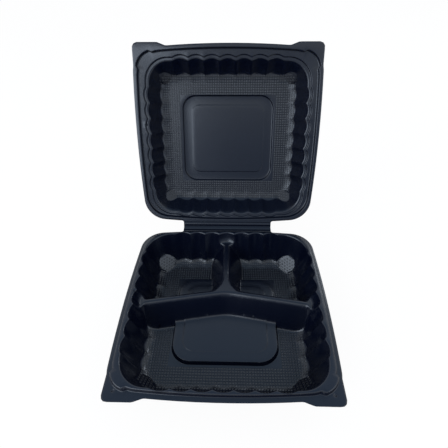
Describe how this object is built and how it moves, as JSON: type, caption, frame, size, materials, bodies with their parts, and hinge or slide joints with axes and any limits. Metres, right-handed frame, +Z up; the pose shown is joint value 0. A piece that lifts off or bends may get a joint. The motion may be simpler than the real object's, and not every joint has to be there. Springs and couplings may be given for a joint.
{
  "type": "plastic clamshell container",
  "caption": "Square black takeaway container with a fluted tray, chevron dividers and a hinged fluted lid standing open.",
  "frame": {"origin": "on the table under the middle of the open container's bounding box", "axes": "+Z up, +Y from the front of the tray towards the hinge and the open lid, +X to the right"},
  "size_m": [0.2334, 0.342, 0.2553],
  "materials": {
    "black_plastic": "satin"
  },
  "bodies": {
    "tray": {"tray": "black_plastic"},
    "lid": {"lid": "black_plastic"}
  },
  "joints": [
    {"name": "lid_hinge", "type": "hinge", "parent": "tray", "child": "lid", "pos_m": [0, 0.06185, 0.04315], "axis": [-1, 0, 0], "range_deg": [-114.25, 65.75]}
  ]
}
